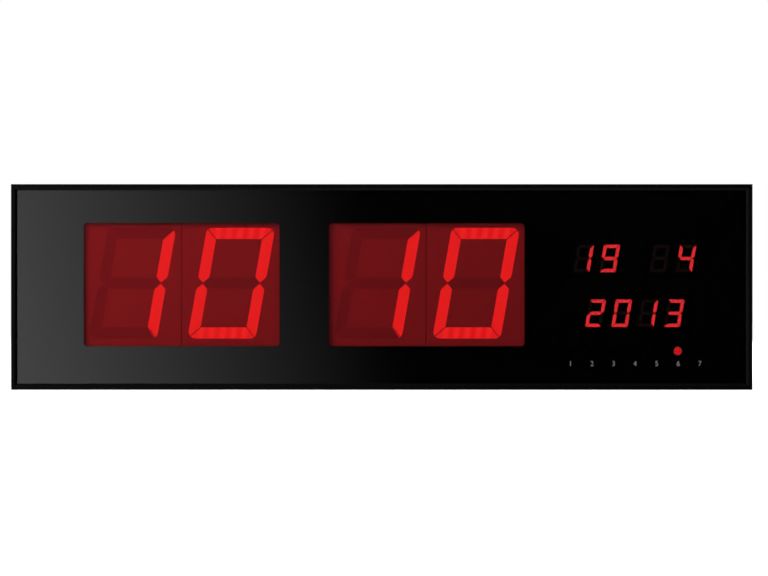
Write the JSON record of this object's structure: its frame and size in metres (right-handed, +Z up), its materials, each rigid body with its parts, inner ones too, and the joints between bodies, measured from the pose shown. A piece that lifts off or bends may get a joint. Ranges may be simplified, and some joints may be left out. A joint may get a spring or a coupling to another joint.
{
  "type": "led wall clock and timer",
  "caption": "Wide black wall clock and timer with large red seven-segment digits behind two windows, a small date display and a row of weekday lamps.",
  "frame": {"origin": "middle of the case's footprint, at the bottom rail's underside", "axes": "+X to the right as the display is read, +Y from the display to the wall, +Z up"},
  "size_m": [0.674, 0.038, 0.187],
  "materials": {
    "button_plastic": "moulded black plastic, satin",
    "black_plastic": "moulded black plastic",
    "spacer_brass": "nickel-plated turned brass",
    "circuit_board": "green solder resist",
    "smoked_film": "clear smoked film",
    "can_aluminium": "plain drawn aluminium",
    "contact_brass": "spring brass",
    "lead_insulation": "soft insulation",
    "cell_steel": "polished steel can",
    "chip_resin": "moulded chip resin",
    "key_steel": "zinc-plated pressed steel",
    "black_zinc_steel": "black zinc-plated screw",
    "module_plastic": "moulded, painted grey face",
    "diffuser_resin": "clear red resin",
    "smoked_acrylic": "polished black smoked acrylic",
    "red_filter": "matt clear red acrylic",
    "ribbon_insulation": "grey ribbon insulation",
    "print_ink": "black screen print",
    "foam": "closed-cell foam tape",
    "frame_aluminium": "black anodised, satin",
    "cover_steel": "black powder-coated sheet steel",
    "lamp_resin": "clear red resin"
  },
  "bodies": {
    "case": {"battery_tray": "black_plastic", "board_spacers": "spacer_brass", "button_guide": "black_plastic", "buzzer": "black_plastic", "calendar_board": "circuit_board", "calendar_filter": "smoked_film", "capacitors": "can_aluminium", "cell_contacts": "contact_brass", "cell_leads": "lead_insulation", "clock_crystal": "cell_steel", "coin_cell": "cell_steel", "controller_chip": "chip_resin", "corner_keys": "key_steel", "corner_screws": "black_zinc_steel", "cover_screws": "black_zinc_steel", "day_modules": "module_plastic", "day_segments": "diffuser_resin", "driver_chips": "chip_resin", "front_panel": "smoked_acrylic", "hours_board": "circuit_board", "hours_lens": "red_filter", "hours_ones_module": "module_plastic", "hours_ones_segments": "diffuser_resin", "hours_ribbon": "ribbon_insulation", "hours_tens_module": "module_plastic", "hours_tens_segments": "diffuser_resin", "lamp_holder": "black_plastic", "mask_print": "print_ink", "minutes_board": "circuit_board", "minutes_lens": "red_filter", "minutes_ones_module": "module_plastic", "minutes_ones_segments": "diffuser_resin", "minutes_ribbon": "ribbon_insulation", "minutes_tens_module": "module_plastic", "minutes_tens_segments": "diffuser_resin", "month_modules": "module_plastic", "month_segments": "diffuser_resin", "panel_gasket": "foam", "power_jack": "black_plastic", "power_jack_pin": "contact_brass", "rail_bottom": "frame_aluminium", "rail_left": "frame_aluminium", "rail_right": "frame_aluminium", "rail_top": "frame_aluminium", "rear_cover": "cover_steel", "regulator": "chip_resin", "ribbon_headers": "black_plastic", "spacer_screws": "black_zinc_steel", "switch_bodies": "black_plastic", "weekday_lamps": "lamp_resin", "year_modules": "module_plastic", "year_segments": "diffuser_resin"},
    "battery_door": {"battery_door": "black_plastic", "door_screw": "black_zinc_steel"},
    "mode_button": {"mode_button": "button_plastic"},
    "up_button": {"up_button": "button_plastic"},
    "down_button": {"down_button": "button_plastic"},
    "alarm_button": {"alarm_button": "button_plastic"}
  },
  "joints": [
    {"name": "mode_button_press", "type": "slide", "parent": "case", "child": "mode_button", "axis": [0, -1, 0], "range_m": [0, 0.0006], "stiffness_N_per_m": 1500},
    {"name": "up_button_press", "type": "slide", "parent": "case", "child": "up_button", "axis": [0, -1, 0], "range_m": [0, 0.0006], "stiffness_N_per_m": 1500},
    {"name": "down_button_press", "type": "slide", "parent": "case", "child": "down_button", "axis": [0, -1, 0], "range_m": [0, 0.0006], "stiffness_N_per_m": 1500},
    {"name": "alarm_button_press", "type": "slide", "parent": "case", "child": "alarm_button", "axis": [0, -1, 0], "range_m": [0, 0.0006], "stiffness_N_per_m": 1500},
    {"name": "battery_door_pull", "type": "slide", "parent": "case", "child": "battery_door", "axis": [0, 1, 0], "range_m": [0, 0.03]}
  ]
}
